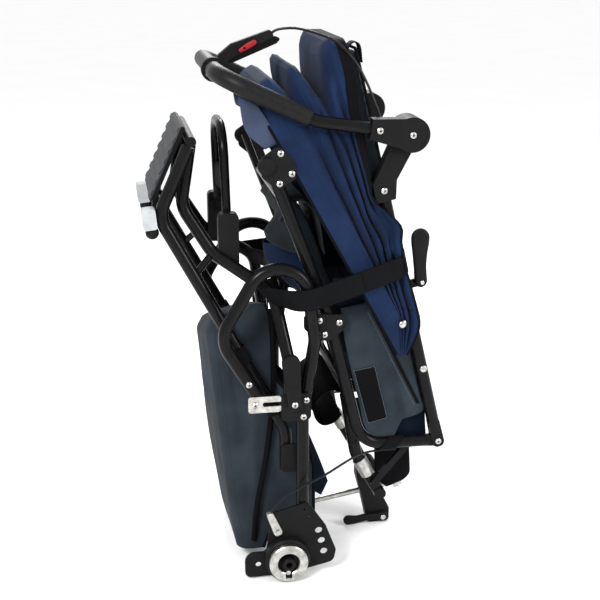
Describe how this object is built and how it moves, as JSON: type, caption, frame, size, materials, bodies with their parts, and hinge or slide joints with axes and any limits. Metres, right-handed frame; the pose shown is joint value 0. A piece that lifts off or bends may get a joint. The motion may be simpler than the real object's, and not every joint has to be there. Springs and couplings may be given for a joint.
{
  "type": "special needs buggy",
  "caption": "Folding special needs buggy stood on its rear end with wheels off: tubular frame, tilting seat, folded back, hood and push handle, drum-brake hubs.",
  "frame": {"origin": "on the floor, under the middle of the folded buggy's box", "axes": "+Z up as it stands, which is forward in use; +X is up in use; -Y is the sitter's left"},
  "size_m": [0.5952, 0.5082, 1.0816],
  "materials": {
    "tube_black": "satin black powder coat",
    "plastic_black": "moulded black plastic",
    "bright_metal": "bright zinc and steel",
    "light_grey": "moulded light grey",
    "tread_grey": "ribbed dark grey rubber",
    "foam_black": "closed-cell foam",
    "cloth_grey": "woven coated nylon",
    "cloth_navy": "woven coated nylon",
    "webbing_black": "woven webbing",
    "brake_red": "moulded red"
  },
  "bodies": {
    "chassis": {"axle_beam": "tube_black", "wheel_plates": "plastic_black", "brake_hubs": "plastic_black", "brake_rings": "bright_metal", "rear_leg_left": "tube_black", "rear_leg_right": "tube_black", "lock_brackets": "plastic_black", "hoop_links": "bright_metal", "front_rail_left": "tube_black", "front_rail_right": "tube_black", "front_hanger_left": "tube_black", "front_hanger_right": "tube_black", "rail_gussets": "plastic_black", "front_crossbars": "tube_black", "caster_sockets": "light_grey", "caster_knobs": "plastic_black", "rail_struts": "tube_black", "basket": "cloth_grey", "frame_screws": "bright_metal", "calf_blocks": "plastic_black", "hub_cables": "foam_black", "fold_strap": "webbing_black"},
    "footplate": {"footplate_frame": "plastic_black", "footplate_tread": "tread_grey"},
    "calf_rest": {"calf_bar": "tube_black", "calf_band": "webbing_black"},
    "brake_arm_pair": {"brake_arms": "bright_metal"},
    "lock_left": {"lock_lever_left": "plastic_black"},
    "lock_right": {"lock_lever_right": "plastic_black"},
    "tilt_rod": {"tilt_rod": "bright_metal"},
    "seat": {"seat_rail_left": "tube_black", "seat_rail_right": "tube_black", "seat_stays": "tube_black", "seat_crossbars": "tube_black", "seat_brackets": "plastic_black", "knee_plates": "plastic_black", "pommel_post": "plastic_black", "seat_cushion": "cloth_grey", "side_panels": "cloth_grey", "seat_screws": "bright_metal"},
    "clamp": {"tilt_clamp": "plastic_black"},
    "quick_release": {"qr_lever": "plastic_black"},
    "back": {"back_tube_left": "tube_black", "back_tube_right": "tube_black", "back_cushion": "cloth_grey", "handle_sockets": "plastic_black", "back_bolts": "bright_metal", "hood_rear_panel": "cloth_navy", "lever_cable": "foam_black"},
    "recline": {"recline_lever": "plastic_black"},
    "hood_middle": {"hood_bow_mid": "tube_black"},
    "hood_fore": {"hood_bow_front": "tube_black", "hood_front_panel": "cloth_navy"},
    "handle": {"handle_yokes": "plastic_black", "handlebar": "tube_black", "handle_grip": "foam_black", "brake_perch": "plastic_black", "handle_bolts": "bright_metal"},
    "brake_blade": {"brake_lever": "plastic_black"},
    "parking": {"parking_tab": "brake_red"}
  },
  "joints": [
    {"name": "seat_tilt", "type": "hinge", "parent": "chassis", "child": "seat", "pos_m": [0.02257, 0, 0.53], "axis": [0, 1, 0], "range_deg": [0, 10], "deforming": ["fold_strap", "hub_cables"]},
    {"name": "rod_swing", "type": "hinge", "parent": "chassis", "child": "tilt_rod", "pos_m": [0.001, 0, 0.045], "axis": [0, 1, 0], "range_deg": [-1, 6]},
    {"name": "clamp_swing", "type": "hinge", "parent": "seat", "child": "clamp", "pos_m": [0.17554, 0, 0.13198], "axis": [0, 1, 0], "range_deg": [-8, 1]},
    {"name": "quick_release_turn", "type": "hinge", "parent": "clamp", "child": "quick_release", "pos_m": [0.21207, 0, 0.016], "axis": [0, 1, 0], "range_deg": [0, 150]},
    {"name": "back_fold", "type": "hinge", "parent": "seat", "child": "back", "pos_m": [0.28757, 0, 0.2567], "axis": [0, 1, 0], "range_deg": [0, 130], "deforming": ["fold_strap", "hood_rear_panel", "hood_front_panel"]},
    {"name": "hood_middle_turn", "type": "hinge", "parent": "back", "child": "hood_middle", "pos_m": [0.20073, 0, 0.52282], "axis": [0, 1, 0], "range_deg": [-50, 1], "deforming": ["hood_rear_panel", "hood_front_panel"]},
    {"name": "hood_fore_turn", "type": "hinge", "parent": "hood_middle", "child": "hood_fore", "pos_m": [0.20073, 0, 0.52282], "axis": [0, 1, 0], "range_deg": [-50, 1], "deforming": ["hood_rear_panel", "hood_front_panel"]},
    {"name": "handle_fold", "type": "hinge", "parent": "back", "child": "handle", "pos_m": [0.20818, 0, 0.89112], "axis": [0, 1, 0], "range_deg": [0, 120], "deforming": ["lever_cable"]},
    {"name": "brake_squeeze", "type": "hinge", "parent": "handle", "child": "brake_blade", "pos_m": [-0.11882, -0.0647, 1.02392], "axis": [0, 1, 0], "range_deg": [-25, 0], "stiffness_Nm_per_rad": 2, "deforming": ["hub_cables"]},
    {"name": "brake_arm_turn", "type": "hinge", "parent": "chassis", "child": "brake_arm_pair", "pos_m": [-0.051, 0, 0.103], "axis": [0, 1, 0], "range_deg": [-1, 20], "deforming": ["hub_cables"]},
    {"name": "parking_turn", "type": "hinge", "parent": "handle", "child": "parking", "pos_m": [-0.08982, -0.0893, 1.04372], "axis": [0, 1, 0], "range_deg": [0, 30]},
    {"name": "recline_squeeze", "type": "hinge", "parent": "back", "child": "recline", "pos_m": [0.2478, -0.165, 0.59366], "axis": [0, 1, 0], "range_deg": [0, 20], "stiffness_Nm_per_rad": 1.5},
    {"name": "footplate_flip", "type": "hinge", "parent": "chassis", "child": "footplate", "pos_m": [-0.25582, 0, 0.735], "axis": [0, 1, 0], "range_deg": [-60, 0]},
    {"name": "calf_lean", "type": "hinge", "parent": "chassis", "child": "calf_rest", "pos_m": [-0.12801, 0, 0.71227], "axis": [0, 1, 0], "range_deg": [-14, 0]},
    {"name": "lock_left_turn", "type": "hinge", "parent": "chassis", "child": "lock_left", "pos_m": [-0.01706, -0.2201, 0.37608], "axis": [0, 1, 0], "range_deg": [-35, 0]},
    {"name": "lock_right_turn", "type": "hinge", "parent": "chassis", "child": "lock_right", "pos_m": [-0.01706, 0.2201, 0.37608], "axis": [0, 1, 0], "range_deg": [-35, 0]}
  ],
  "couplings": [
    {"joint": "rod_swing", "follows": "seat_tilt", "ratio": 0.42},
    {"joint": "clamp_swing", "follows": "seat_tilt", "ratio": -0.58},
    {"joint": "hood_middle_turn", "follows": "back_fold", "ratio": -0.35},
    {"joint": "hood_fore_turn", "follows": "back_fold", "ratio": -0.35},
    {"joint": "brake_arm_turn", "follows": "brake_squeeze", "ratio": -0.6}
  ]
}
